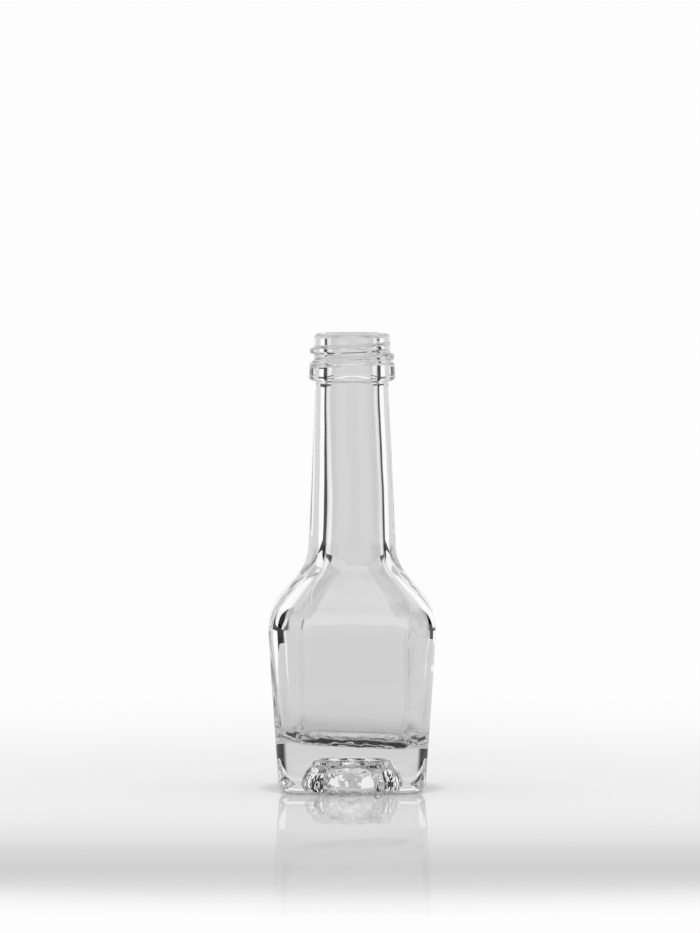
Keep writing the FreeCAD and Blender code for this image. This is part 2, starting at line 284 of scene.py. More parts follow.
@dataclass
class Foot:
    """The bearing rim and the fluted hollow that lifts the middle of the foot.

    Shares along the roof run from 0 at its middle to 1 at its edge.
    """

    half: float = 15.4
    corner: float = 4.6
    heel: float = 2.5
    heel_land: float = 3.2
    rim_land: float = 1.3
    hollow_top_radius: float = 8.6
    hollow_side_rise: float = 6.2
    roof_rise: float = 6.3
    roof_lip: float = 0.75
    lip_rises: tuple[float, float] = (0.82, 0.92)
    lip_falls: tuple[float, float] = (0.94, 1.04)
    roof_curd: float = 0.5
    roof_curd_ends: tuple[float, float] = (0.6, 0.85)
    roof_flutes_start: tuple[float, float] = (0.75, 1.0)
    side_flutes_full: float = 1.4
    side_curd: float = 0.9
    side_curd_full: float = 1.8
    side_curd_ends: tuple[float, float] = (4.0, 6.0)
    roof_rings: int = 26
    side_rings: int = 26
    land_rings: int = 4

    @property
    def hollow_radius(self) -> float:
        """Radius of the hollow where it meets the rim."""
        return self.half - self.heel_land - self.rim_land

    @property
    def side_centre(self) -> float:
        """Distance from the axis of the middle of the hollow's side arc, level with the rim."""
        top, rise, foot = self.hollow_top_radius, self.hollow_side_rise, self.hollow_radius
        return (foot**2 - top**2 - rise**2) / (2 * (foot - top))

    def rings(self) -> list[Ring]:
        """Builds the rings from the middle of the hollow to the heel.

        Returns:
            The rings, from the inside out.
        """
        return self.roof() + self.side() + self.land()

    def roof(self) -> list[Ring]:
        """Builds the roof of the hollow, with a raised lip near its edge."""
        made = []
        for i in range(1, self.roof_rings + 1):
            share = i / self.roof_rings
            lip = smooth(*self.lip_rises, share) - smooth(*self.lip_falls, share)
            radius = self.hollow_top_radius * share
            relief = {
                Relief.CURD: self.roof_curd * share * (1 - smooth(*self.roof_curd_ends, share)),
                Relief.FLUTE: smooth(*self.roof_flutes_start, share),
            }
            height = level(self.roof_rise + self.roof_lip * lip)
            made.append(Ring(square_reach(radius, radius), height, 0.0, relief))
        return made

    def side(self) -> list[Ring]:
        """Builds the hollow's arched side, from the roof down to the rim."""
        made = []
        arc = self.hollow_radius - self.side_centre
        top = math.asin(min(self.hollow_side_rise / arc, 1.0))
        for i in range(1, self.side_rings + 1):
            turn = top * (1 - i / self.side_rings)
            radius = self.side_centre + arc * math.cos(turn)
            up = arc * math.sin(turn)
            curd = smooth(0.0, self.side_curd_full, up) * (1 - smooth(*self.side_curd_ends, up))
            relief = {
                Relief.FLUTE: smooth(0.0, self.side_flutes_full, up),
                Relief.CURD: self.side_curd * curd,
            }
            made.append(Ring(square_reach(radius, radius), level(max(up, 0.0)), 0.0, relief))
        return made

    def land(self) -> list[Ring]:
        """Builds the flat rim that the bottle stands on, with its row of notches."""
        made = []
        inner = square_reach(self.hollow_radius, self.hollow_radius)
        outer = square_reach(self.half - self.heel, self.corner - self.heel)
        for i in range(1, self.land_rings + 1):
            share = i / (self.land_rings + 1)
            reach = inner + (outer - inner) * share
            made.append(Ring(reach, level(0.0), 0.0, {Relief.NOTCH: math.sin(math.pi * share)}))
        return made


@dataclass
class Outside:
    """The outer wall: tapered square body, sloping shoulder, round neck, locking ring and lip."""

    foot: Foot
    shoulder_half: float = 17.95
    shoulder_corner: float = 6.4
    body_rise: float = 37.4
    body_blend: float = 9.6
    neck_foot_radius: float = 9.4
    neck_foot_rise: float = 48.2
    neck_blend: float = 9.9
    neck_top_radius: float = 7.7
    neck_top_round: float = 0.5
    ring_foot: float = 86.5
    ring_rise: float = 3.6
    ring_depth: float = 0.95
    ring_flare: float = 0.2
    ring_round: float = 0.45
    ring_foot_round: float = 0.8
    finish_radius: float = 8.05
    finish_foot_round: float = 0.3
    rim: float = 96.6
    lip_round: float = 1.1
    lip_land: float = 0.3
    bend_rise: float = 33.7
    round_rise: float = 53.5
    eased_margin: float = 3.0
    round_margin: float = 2.0
    thread_above_ring_foot: float = 2.5
    thread_below_rim: float = 0.6
    fine: float = 0.11

    @property
    def taper(self) -> float:
        """How much the body's half width grows with each millimetre of height."""
        return (self.shoulder_half - self.foot.half) / self.body_rise

    def corner_at(self, half: float, up: float) -> float:
        """Finds the corner radius of the outline at one height.

        Args:
            half: Half of the outline's width there.
            up: The height.

        Returns:
            Radius of the outline's corners.
        """
        foot_share = self.foot.corner / self.foot.half
        shoulder_share = self.shoulder_corner / self.shoulder_half
        share = foot_share + (shoulder_share - foot_share) * smooth(0.0, self.bend_rise, up)
        if up < self.foot.heel:
            wall = self.foot.half + (self.shoulder_half - self.foot.half) * up / self.body_rise
            return max(wall * share - (wall - half), LEAST_CORNER)
        return half * (share + (1 - share) * rounding(self.bend_rise, self.round_rise, up))

    def profile(self) -> list[tuple[float, float]]:
        """Gives the side profile from the heel to the top of the lip."""
        foot = self.foot
        ring_reach = self.finish_radius + self.ring_depth
        ring_top = self.ring_foot + self.ring_rise
        ring_edge = ring_reach + self.ring_flare
        finish_foot = ring_top + self.ring_depth
        lip_edge = self.finish_radius - self.lip_round - self.lip_land
        path = rounded_path(
            [
                Corner(foot.half - foot.heel, 0.0, spacing=0.5),
                Corner(foot.half, 0.0, foot.heel, spacing=1.0, arc_step=6.0),
                Corner(self.shoulder_half, self.body_rise, self.body_blend, spacing=0.7, arc_step=3.0),
                Corner(self.neck_foot_radius, self.neck_foot_rise, self.neck_blend, spacing=1.4, arc_step=3.0),
                Corner(self.neck_top_radius, self.ring_foot, self.neck_top_round, spacing=0.4, arc_step=15.0),
                Corner(ring_edge, self.ring_foot, self.ring_foot_round, spacing=0.5, arc_step=12.0),
                Corner(ring_reach, ring_top, self.ring_round, spacing=0.3, arc_step=12.0),
                Corner(self.finish_radius, finish_foot, self.finish_foot_round, spacing=self.fine, arc_step=15.0),
                Corner(self.finish_radius, self.rim, self.lip_round, spacing=0.5, arc_step=9.0),
                Corner(lip_edge, self.rim),
            ]
        )
        return eased(path, foot.heel + self.eased_margin, self.ring_foot - self.eased_margin, EASING)

    def rings(self) -> list[Ring]:
        """Builds the rings from the heel to the lip.

        Returns:
            The rings, from the foot up.
        """
        made = []
        for out, up in self.profile():
            squared = up <= self.ring_foot - self.round_margin
            reach = square_reach(out, self.corner_at(out, up) if squared else out)
            threaded = self.ring_foot + self.thread_above_ring_foot < up < self.rim - self.thread_below_rim
            made.append(Ring(reach, level(up), 0.0, {Relief.THREAD: float(threaded)}))
        return made


@dataclass
class Inside:
    """The bore, the inner shoulder, the chamber and its floor, a little askew as blown glass is."""

    outside: Outside
    wall: float = 2.1
    floor_rise: float = 9.8
    floor_round: float = 4.4
    floor_run: float = 4.0
    floor_inset_share: float = 0.6
    foot_corner: float = 4.4
    shoulder_corner: float = 6.4
    shoulder_blend: float = 8.0
    shoulder_drop: float = 0.8
    root_radius: float = 6.15
    root_lift: float = -0.4
    root_blend: float = 9.5
    round_lift: float = 1.0
    round_above_root: float = 6.0
    top_radius: float = 5.35
    top_blend: float = 3.0
    mouth_round: float = 0.9
    mouth_land: float = 0.5
    neck_shift: float = 0.35
    body_shift: float = 0.4
    shift_change: float = 0.05
    shift_fade_start: float = 12.0
    shift_fade_margin: float = 2.0
    eased_margin: float = 4.0
    floor_dip: float = 0.045
    dip_fade: float = 9.0
    wave_margin: float = 1.0
    wall_curd: float = 0.8
    wall_curd_rise: float = 3.5
    floor_curd: float = 0.5
    floor_rings: int = 16

    def shift_at(self, up: float) -> float:
        """Gives how far the inside stands off the axis, towards +X, at one height."""
        o = self.outside
        if up > o.neck_foot_rise:
            low, high = o.neck_foot_rise + self.shift_fade_start, o.ring_foot - self.shift_fade_margin
            return self.neck_shift * (1 - smooth(low, high, up))
        low = o.body_rise - self.eased_margin
        return self.body_shift - self.shift_change * smooth(low, o.neck_foot_rise, up)

    def profile(self) -> list[tuple[float, float]]:
        """Gives the side profile from the mouth down to the edge of the floor."""
        o = self.outside
        mouth_edge = o.finish_radius - o.lip_round - self.mouth_land
        root_up = o.neck_foot_rise + self.root_lift
        shoulder_half, shoulder_up = o.shoulder_half - self.wall, o.body_rise - self.shoulder_drop
        floor_half = o.foot.half + o.taper * self.floor_rise - self.wall
        path = rounded_path(
            [
                Corner(mouth_edge, o.rim, spacing=0.4),
                Corner(self.top_radius, o.rim, self.mouth_round, spacing=1.2, arc_step=9.0),
                Corner(self.top_radius, o.ring_foot + o.ring_rise, self.top_blend, spacing=1.6, arc_step=1.0),
                Corner(self.root_radius, root_up, self.root_blend, spacing=1.2, arc_step=2.6),
                Corner(shoulder_half, shoulder_up, self.shoulder_blend, spacing=1.3, arc_step=2.6),
                Corner(floor_half, self.floor_rise, self.floor_round, spacing=1.0, arc_step=6.0),
                Corner(floor_half - self.floor_run, self.floor_rise),
            ]
        )
        return eased(path, self.floor_rise + self.eased_margin, o.ring_foot, EASING)

    def corner_at(self, half: float, up: float) -> float:
        """Finds the corner radius of the inner outline at one height.

        Args:
            half: Half of the outline's width there.
            up: The height.

        Returns:
            Radius of the outline's corners.
        """
        o = self.outside
        shoulder_share = self.shoulder_corner / (o.shoulder_half - self.wall)
        foot_share = self.foot_corner / (o.foot.half + o.taper * self.floor_rise - self.wall)
        share = foot_share + (shoulder_share - foot_share) * smooth(self.floor_rise, o.bend_rise, up)
        wall_half = o.foot.half + o.taper * up - self.wall
        if up < self.floor_rise + self.floor_round:
            return max(wall_half * share - (wall_half - half) * self.floor_inset_share, LEAST_INNER_CORNER)
        return half * (share + (1 - share) * rounding(o.bend_rise, o.round_rise + self.round_lift, up))

    def rings(self) -> list[Ring]:
        """Builds the rings from the mouth down to the middle of the floor.

        Returns:
            The rings, from the mouth to the floor's middle.
        """
        o = self.outside
        made = []
        for out, up in self.profile():
            in_bore = up > o.neck_foot_rise + self.round_above_root
            reach = square_reach(out, out if in_bore else self.corner_at(out, up))
            dip = 1 - smooth(self.floor_rise, self.floor_rise + self.dip_fade, up)
            height = up - self.floor_dip * dip * reach * np.cos(ANGLES)
            curd = 1 - smooth(self.floor_rise, self.floor_rise + self.wall_curd_rise, up)
            relief = {
                Relief.WAVE: 1 - smooth(o.ring_foot, o.rim - self.wave_margin, up),
                Relief.CURD: self.wall_curd * curd,
            }
            made.append(Ring(reach, height, self.shift_at(up), relief))
        last = made[-1]
        for i in range(1, self.floor_rings):
            share = 1 - i / self.floor_rings
            reach = last.reach * share
            height = self.floor_rise - self.floor_dip * reach * np.cos(ANGLES)
            relief = {Relief.WAVE: 1.0, Relief.CURD: self.floor_curd * share}
            made.append(Ring(reach, height, last.shift, relief))
        return made


@dataclass(frozen=True)
class FlintGlass:
    """Clear soda-lime flint glass, moulded and fire-polished: colourless, with sharp reflections.

    Attributes:
        tint: Colour that light keeps through a surface.
        ior: Index of refraction of bottle glass.
        roughness: Fire-polished glass is nearly a mirror.
    """

    tint: str = "FDFDFD"
    ior: float = 1.52
    roughness: float = 0.0

    def material(self) -> bpy.types.Material:
        """Makes the material."""
        made = bpy.data.materials.new("clear flint glass")
        made.use_nodes = True
        shader = made.node_tree.nodes["Principled BSDF"]
        shader.inputs["Base Color"].default_value = linear(self.tint)
        shader.inputs["Roughness"].default_value = self.roughness
        shader.inputs["IOR"].default_value = self.ior
        shader.inputs["Transmission Weight"].default_value = 1.0
        return made


@dataclass(frozen=True)
class MouldRelief:
    """Sizes of what the mould raises on the plain rings, in millimetres.

    Attributes:
        thread_fade: Part of a turn over which the thread runs in and out.
        flute_patch: Length over which the flutes' depth changes.
        flute_spread: How much the flutes' depth changes, as a share of it.
        flute_mean: The flutes' mean depth, as a share of it.
        wave_salt, curd_salt, flute_salt: Set each noise apart from the others.
    """

    thread_foot: float = 90.45
    thread_pitch: float = 2.35
    thread_turns: float = 1.5
    thread_depth: float = 0.9
    thread_root: float = 2.0
    thread_crest: float = 0.7
    thread_fade: float = 0.1
    flutes: int = 64
    flute_depth: float = 0.02
    flute_patch: float = 4.0
    flute_spread: float = 0.6
    flute_mean: float = 0.7
    notch_depth: float = 0.18
    wave_depth: float = 0.05
    wave_length: float = 6.0
    curd_depth: float = 0.4
    curd_length: float = 2.0
    seed: int = 7
    wave_salt: float = 0.0
    curd_salt: float = 20.0
    flute_salt: float = 40.0

    def inputs(self) -> dict[str, float]:
        """Names each size as the tree's input shows it, in metres where it is a length."""
        return {
            "Thread Foot": self.thread_foot * MM,
            "Thread Pitch": self.thread_pitch * MM,
            "Thread Turns": self.thread_turns,
            "Thread Depth": self.thread_depth * MM,
            "Thread Root": self.thread_root * MM,
            "Thread Crest": self.thread_crest * MM,
            "Thread Fade": self.thread_fade,
            "Flutes": float(self.flutes),
            "Flute Depth": self.flute_depth * MM,
            "Flute Patch": self.flute_patch * MM,
            "Notch Depth": self.notch_depth * MM,
            "Wave Depth": self.wave_depth * MM,
            "Wave Length": self.wave_length * MM,
            "Curd Depth": self.curd_depth * MM,
            "Curd Length": self.curd_length * MM,
            "Seed": float(self.seed),
        }


class ReliefTree:
    """The Geometry Nodes tree that raises the thread, flutes, notches and waves on the rings."""

    def __init__(self, relief: MouldRelief, glass: bpy.types.Material) -> None:
        """Builds the tree.

        Args:
            relief: Sizes of the reliefs.
            glass: Material of the finished surface.
        """
        self.relief = relief
        self.tree = bpy.data.node_groups.new("mould relief", "GeometryNodeTree")
        sockets = self.tree.interface
        for way in ("INPUT", "OUTPUT"):
            sockets.new_socket("Geometry", in_out=way, socket_type="NodeSocketGeometry")
        self.keys: dict[str, str] = {}
        for name in relief.inputs():
            socket = sockets.new_socket(name, in_out="INPUT", socket_type="NodeSocketFloat")
            self.keys[name] = socket.identifier
        self.given = add_node(self.tree, "NodeGroupInput").outputs
        self.place = add_node(self.tree, "GeometryNodeInputPosition").outputs[0]
        self.spot = add_node(self.tree, "ShaderNodeSeparateXYZ", {0: self.place}).outputs
        self.shares: dict[str, Socket] = {}
        for name in [kind.value for kind in Relief] + [ROUND_SHARE]:
            attribute = add_node(self.tree, "GeometryNodeInputNamedAttribute", {"Name": name}, data_type="FLOAT")
            self.shares[name] = attribute.outputs[0]
        self.finish(glass)

    def thread(self) -> Socket:
        """Gives the height of the right-handed screw thread over the plain finish."""
        tree, given = self.tree, self.given
        y = add_node(tree, MATH, {0: self.spot["Y"], 1: -1.0}, operation="MULTIPLY").outputs[0]
        x = add_node(tree, MATH, {0: self.spot["X"], 1: -1.0}, operation="MULTIPLY").outputs[0]
        angle = add_node(tree, MATH, {0: y, 1: x}, operation="ARCTAN2").outputs[0]
        turns = add_node(tree, MATH, {0: angle, 1: 2 * math.pi}, operation="DIVIDE").outputs[0]
        part = add_node(tree, MATH, {0: turns}, operation="FRACT").outputs[0]
        half_root = add_node(tree, MATH, {0: given["Thread Root"], 1: 0.5}, operation="MULTIPLY").outputs[0]
        half_crest = add_node(tree, MATH, {0: given["Thread Crest"], 1: 0.5}, operation="MULTIPLY").outputs[0]
        passes: list[Socket] = []
        for turn in range(math.ceil(self.relief.thread_turns)):
            turned = add_node(tree, MATH, {0: part, 1: float(turn)}, operation="ADD").outputs[0]
            links = {0: turned, 1: given["Thread Pitch"], 2: given["Thread Foot"]}
            climb = add_node(tree, MATH, links, operation="MULTIPLY_ADD").outputs[0]
            over = add_node(tree, MATH, {0: self.spot["Z"], 1: climb}, operation="SUBTRACT").outputs[0]
            off = add_node(tree, MATH, {0: over}, operation="ABSOLUTE").outputs[0]
            left = add_node(tree, MATH, {0: given["Thread Turns"], 1: turned}, operation="SUBTRACT").outputs[0]
            ramps = []
            for value, low, high in (
                (off, half_root, half_crest),
                (turned, 0.0, given["Thread Fade"]),
                (left, 0.0, given["Thread Fade"]),
            ):
                links = {"Value": value, "From Min": low, "From Max": high}
                ramps.append(add_node(tree, RANGE, links, interpolation_type="SMOOTHSTEP").outputs[0])
            ends = add_node(tree, MATH, {0: ramps[1], 1: ramps[2]}, operation="MULTIPLY").outputs[0]
            passes.append(add_node(tree, MATH, {0: ramps[0], 1: ends}, operation="MULTIPLY").outputs[0])
        height = passes[0]
        for other in passes[1:]:
            height = add_node(tree, MATH, {0: height, 1: other}, operation="MAXIMUM").outputs[0]
        for factor in (given["Thread Depth"], self.shares[Relief.THREAD.value]):
            height = add_node(tree, MATH, {0: height, 1: factor}, operation="MULTIPLY").outputs[0]
        return height

    def noises(self) -> dict[Relief, Socket]:
        """Gives the uneven parts of three reliefs, each from about -1 to 1."""
        tree, given, relief = self.tree, self.given, self.relief
        made: dict[Relief, Socket] = {}
        for kind, length, salt, detail in (
            (Relief.FLUTE, "Flute Patch", relief.flute_salt, 0.0),
            (Relief.WAVE, "Wave Length", relief.wave_salt, 1.0),
            (Relief.CURD, "Curd Length", relief.curd_salt, 1.0),
        ):
            w = add_node(tree, MATH, {0: given["Seed"], 1: salt}, operation="ADD").outputs[0]
            scale = add_node(tree, MATH, {0: 1.0, 1: given[length]}, operation="DIVIDE").outputs[0]
            links = {"Vector": self.place, "W": w, "Scale": scale, "Detail": detail}
            raw = add_node(tree, "ShaderNodeTexNoise", links, noise_dimensions="4D").outputs[0]
            made[kind] = add_node(tree, MATH, {0: raw, 1: 2.0, 2: -1.0}, operation="MULTIPLY_ADD").outputs[0]
        return made

    def depths(self) -> dict[Relief, Socket]:
        """Gives how far each relief but the thread moves the surface."""
        tree, given = self.tree, self.given
        noises = self.noises()
        turn = self.shares[ROUND_SHARE]
        for factor in (given["Flutes"], 2 * math.pi):
            turn = add_node(tree, MATH, {0: turn, 1: factor}, operation="MULTIPLY").outputs[0]
        wave = add_node(tree, MATH, {0: turn}, operation="COSINE").outputs[0]
        wave_up = add_node(tree, MATH, {0: wave, 1: 0.5, 2: 0.5}, operation="MULTIPLY_ADD").outputs[0]
        links = {0: noises[Relief.FLUTE], 1: self.relief.flute_spread, 2: self.relief.flute_mean}
        uneven = add_node(tree, MATH, links, operation="MULTIPLY_ADD").outputs[0]
        made: dict[Relief, Socket] = {}
        for kind, form, depth in (
            (Relief.FLUTE, wave, "Flute Depth"),
            (Relief.NOTCH, wave_up, "Notch Depth"),
            (Relief.WAVE, noises[Relief.WAVE], "Wave Depth"),
            (Relief.CURD, noises[Relief.CURD], "Curd Depth"),
        ):
            links = {0: given[depth], 1: self.shares[kind.value]}
            full = add_node(tree, MATH, links, operation="MULTIPLY").outputs[0]
            made[kind] = add_node(tree, MATH, {0: form, 1: full}, operation="MULTIPLY").outputs[0]
        links = {0: made[Relief.FLUTE], 1: uneven}
        made[Relief.FLUTE] = add_node(tree, MATH, links, operation="MULTIPLY").outputs[0]
        return made

    def finish(self, glass: bpy.types.Material) -> None:
        """Joins the reliefs into one move of the surface and ends the tree.

        Args:
            glass: Material of the finished surface.
        """
        tree, depths = self.tree, self.depths()
        flat = add_node(tree, "ShaderNodeCombineXYZ", {"X": self.spot["X"], "Y": self.spot["Y"]}).outputs[0]
        outward = add_node(tree, VECTOR, {0: flat}, operation="NORMALIZE").outputs[0]
        normal = add_node(tree, "GeometryNodeInputNormal").outputs[0]
        along = depths[Relief.WAVE]
        for kind in (Relief.CURD, Relief.FLUTE):
            along = add_node(tree, MATH, {0: along, 1: depths[kind]}, operation="ADD").outputs[0]
        move = add_node(tree, VECTOR, {0: outward, "Scale": self.thread()}, operation="SCALE").outputs[0]
        for other in (
            add_node(tree, VECTOR, {0: normal, "Scale": along}, operation="SCALE").outputs[0],
            add_node(tree, "ShaderNodeCombineXYZ", {"Z": depths[Relief.NOTCH]}).outputs[0],
        ):
            move = add_node(tree, VECTOR, {0: move, 1: other}, operation="ADD").outputs[0]
        moved = add_node(tree, "GeometryNodeSetPosition", {"Geometry": self.given["Geometry"], "Offset": move})
        real = add_node(tree, "GeometryNodeRealizeInstances", {0: moved.outputs[0]})
        dressed = add_node(tree, "GeometryNodeSetMaterial", {"Geometry": real.outputs[0], "Material": glass})
        add_node(tree, "NodeGroupOutput", {0: dressed.outputs[0]})

    def apply_to(self, blank: bpy.types.Object, name: str) -> bpy.types.Object:
        """Runs the tree on a blank and makes its result a plain object.

        Args:
            blank: Object with the plain rings; it is removed.
            name: Name of the new object.

        Returns:
            The finished object.
        """
        modifier = blank.modifiers.new("mould relief", "NODES")
        modifier.node_group = self.tree
        for label, value in self.relief.inputs().items():
            modifier[self.keys[label]] = value
        graph = bpy.context.evaluated_depsgraph_get()
        mesh = bpy.data.meshes.new_from_object(blank.evaluated_get(graph))
        mesh.name = name
        blank.modifiers.remove(modifier)
        made = bpy.data.objects.new(name, mesh)
        bpy.context.scene.collection.objects.link(made)
        bpy.data.objects.remove(blank)
        return made


@dataclass
class Bottle:
    """The whole bottle: one closed piece of clear glass."""

    foot: Foot = field(default_factory=Foot)
    glass: FlintGlass = field(default_factory=FlintGlass)
    relief: MouldRelief = field(default_factory=MouldRelief)

    def rings(self) -> list[Ring]:
        """Collects every ring from the middle of the hollow to the middle of the floor."""
        outside = Outside(self.foot)
        return self.foot.rings() + outside.rings() + Inside(outside).rings()

    def blank(self, rings: list[Ring]) -> bpy.types.Object:
        """Makes the closed surface of plain rings.

        Args:
            rings: The rings in order.

        Returns:
            An object with the reliefs' shares in its vertex attributes.
        """
        spots = np.zeros((len(rings), COLUMNS, 3))
        for i, ring in enumerate(rings):
            spots[i, :, 0] = ring.reach * np.cos(ANGLES) + ring.shift
            spots[i, :, 1] = ring.reach * np.sin(ANGLES)
            spots[i, :, 2] = ring.height
        first, last = spots[0].mean(0), spots[-1].mean(0)
        first[2] = self.foot.roof_rise
        flat = np.vstack([spots.reshape(-1, 3), first, last]) * MM
        count = len(rings) * COLUMNS
        faces: list[tuple[int, ...]] = []
        for low in range(0, count - COLUMNS, COLUMNS):
            high = low + COLUMNS
            turns = [(j, (j + 1) % COLUMNS) for j in range(COLUMNS)]
            faces += [(low + j, low + k, high + k, high + j) for j, k in turns]
        top = count - COLUMNS
        faces += [(count, (j + 1) % COLUMNS, j) for j in range(COLUMNS)]
        faces += [(count + 1, top + j, top + (j + 1) % COLUMNS) for j in range(COLUMNS)]
        mesh = bpy.data.meshes.new("bottle blank")
        mesh.from_pydata(flat.tolist(), [], faces)
        values = {ROUND_SHARE: np.append(np.tile(np.arange(COLUMNS) / COLUMNS, len(rings)), [0.0, 0.0])}
        for kind in Relief:
            shares = [ring.relief.get(kind, 0.0) for ring in rings]
            values[kind.value] = np.append(np.repeat(shares, COLUMNS), [shares[0], shares[-1]])
        for name, column in values.items():
            mesh.attributes.new(name, "FLOAT", "POINT").data.foreach_set("value", column.astype(np.float32))
        made = bpy.data.objects.new("bottle blank", mesh)
        bpy.context.scene.collection.objects.link(made)
        return made

    def build(self) -> bpy.types.Object:
        """Builds, dresses and seats the bottle.

        Returns:
            The finished glass.
        """
        rings = self.rings()
        tree = ReliefTree(self.relief, self.glass.material())
        made = tree.apply_to(self.blank(rings), "bottle_glass")
        made.data.shade_smooth()
        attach(made, BODY)
        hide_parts(NODE)
        log.info("%s: %d rings, %d faces", made.name, len(rings), len(made.data.polygons))
        return made


class Tone(Enum):
    """Tones of the backdrop and of the cards that stand round the bottle, as sRGB hex."""

    WHITE = "FFFFFF"
    BACKDROP = "FDFDFD"
    MIRRORED = "F8F8F8"
    FILL = "F0F0F0"
    PALE = "E0E0E0"
    GREY = "D3D3D3"
    SOFT = "BCBCBC"
    WING = "B8B8B8"
    SIDE = "303030"
    RING = "282828"
    LID = "202020"
    GAP = "181818"
    DARK = "080808"


@dataclass(frozen=True)
class Tier:
    """One height of cards round the bottle.

    Attributes:
        start: Upward part of a direction at which the tier starts to show.
        full: Upward part at which nothing else shows.
        cards: For each card, the degrees from straight behind of both its edges, and its tone.
    """

    start: float
    full: float
    cards: tuple[tuple[float, float, Tone], ...]

    def stops(self) -> list[tuple[float, str]]:
        """Gives both edges of each card as a share of a half turn, with its colour."""
        return [(edge / 180, tone.value) for low, high, tone in self.cards for edge in (low, high)]


def set_stops(node: bpy.types.Node, stops: list[tuple[float, str]]) -> None:
    """Sets the colours of a node's ramp.

    Args:
        node: The node with the ramp.
        stops: Places from 0 to 1 in order, each with an sRGB hex colour.
    """
    ramp = node.color_ramp
    while len(ramp.elements) < len(stops):
        ramp.elements.new(0.5)
    for element, (place, colour) in zip(ramp.elements, stops):
        element.position = place
        element.color = linear(colour)


@dataclass(frozen=True)
class LightTent:
    """Soft plain world with cards round the bottle, which give clear glass its lines.

    Glossy and transmission rays see the cards, camera rays the plain backdrop, and what lights the
    object and the floor is one even tone. Mirror images don't show the cards behind and low down, so
    that the floor stays pale.

    Attributes:
        behind_edge: Where the hidden cards behind end, as shares of a half turn from straight behind.
        low_edge: Where the hidden cards low down end, as the upward part of a direction.
        tiers: The cards, from the lowest up. Each tier covers the ones under it from its start up.
    """

    behind_edge: tuple[float, float] = (19 / 180, 21 / 180)
    low_edge: tuple[float, float] = (0.12, 0.2)
    tiers: tuple[Tier, ...] = (
        Tier(-0.16, -0.145, (
            (0, 22, Tone.GREY), (27, 52, Tone.WHITE), (55, 81, Tone.DARK),
            (84, 112, Tone.WING), (117, 153, Tone.WHITE), (158, 180, Tone.GREY),
        )),
        Tier(-0.011, -0.005, (
            (0, 17, Tone.PALE), (20, 78, Tone.GAP), (82, 110, Tone.WING),
            (116, 153, Tone.WHITE), (158, 180, Tone.GREY),
        )),
        Tier(0.07, 0.09, (
            (0, 22, Tone.GREY), (25, 52, Tone.WHITE), (55, 71, Tone.DARK),
            (74, 77, Tone.WHITE), (80, 126, Tone.SIDE), (130, 180, Tone.WHITE),
        )),
        Tier(0.24, 0.27, (
            (0, 52, Tone.WHITE), (55, 71, Tone.DARK), (74, 77, Tone.WHITE),
            (80, 126, Tone.SIDE), (130, 180, Tone.WHITE),
        )),
        Tier(0.36, 0.40, (
            (0, 20, Tone.SOFT), (25, 52, Tone.WHITE), (55, 126, Tone.SIDE), (130, 180, Tone.WHITE),
        )),
        Tier(0.62, 0.68, (
            (0, 14, Tone.LID), (20, 77, Tone.WHITE), (80, 126, Tone.SIDE), (130, 180, Tone.WHITE),
        )),
        Tier(0.80, 0.84, ((0, 18, Tone.WHITE), (24, 150, Tone.RING), (160, 180, Tone.WHITE))),
    )

    def build(self) -> None:
        """Makes the world."""
        world = bpy.data.worlds.new("light tent")
        bpy.context.scene.world = world
        world.use_nodes = True
        tree = world.node_tree
        tree.nodes.clear()
        way = add_node(tree, "ShaderNodeTexCoord").outputs["Generated"]
        part = add_node(tree, "ShaderNodeSeparateXYZ", {0: way}).outputs
        path = add_node(tree, "ShaderNodeLightPath").outputs
        angle = add_node(tree, MATH, {0: part["X"], 1: part["Y"]}, operation="ARCTAN2").outputs[0]
        aside = add_node(tree, MATH, {0: angle}, operation="ABSOLUTE").outputs[0]
        share = add_node(tree, MATH, {0: aside, 1: math.pi}, operation="DIVIDE").outputs[0]
        sky: Any = linear(Tone.GREY.value)
        for tier in self.tiers:
            links = {"Value": part["Z"], "From Min": tier.start, "From Max": tier.full}
            above = add_node(tree, RANGE, links).outputs[0]
            cards = add_node(tree, RAMP, {0: share})
            set_stops(cards, tier.stops())
            links = {"Factor": above, "A": sky, "B": cards.outputs[0]}
            sky = add_node(tree, MIX, links, data_type="RGBA").outputs["Result"]
        fades: dict[int, Socket] = {}
        for i, (value, (low, high)) in enumerate(((share, self.behind_edge), (part["Z"], self.low_edge))):
            links = {"Value": value, "From Min": low, "From Max": high, "To Min": 1.0, "To Max": 0.0}
            fades[i] = add_node(tree, RANGE, links).outputs[0]
        hidden = add_node(tree, MATH, fades, operation="MAXIMUM").outputs[0]
        hidden = add_node(tree, MATH, {0: hidden, 1: path["Is Reflection Ray"]}, operation="MULTIPLY").outputs[0]
        links = {"Factor": hidden, "A": sky, "B": linear(Tone.MIRRORED.value)}
        sky = add_node(tree, MIX, links, data_type="RGBA").outputs["Result"]
        links = {"Factor": path["Is Camera Ray"], "A": sky, "B": linear(Tone.BACKDROP.value)}
        seen = add_node(tree, MIX, links, data_type="RGBA").outputs["Result"]
        links = {0: path["Is Glossy Ray"], 1: path["Is Transmission Ray"]}
        in_glass = add_node(tree, MATH, links, operation="MAXIMUM").outputs[0]
        shown = add_node(tree, MATH, {0: path["Is Camera Ray"], 1: in_glass}, operation="MAXIMUM").outputs[0]
        links = {"Factor": shown, "A": linear(Tone.FILL.value), "B": seen}
        tone = add_node(tree, MIX, links, data_type="RGBA").outputs["Result"]
        light = add_node(tree, "ShaderNodeBackground", {"Color": tone, "Strength": 1.0})
        add_node(tree, "ShaderNodeOutputWorld", {0: light.outputs[0]})
        log.info("light tent: %d tiers of cards", len(self.tiers))


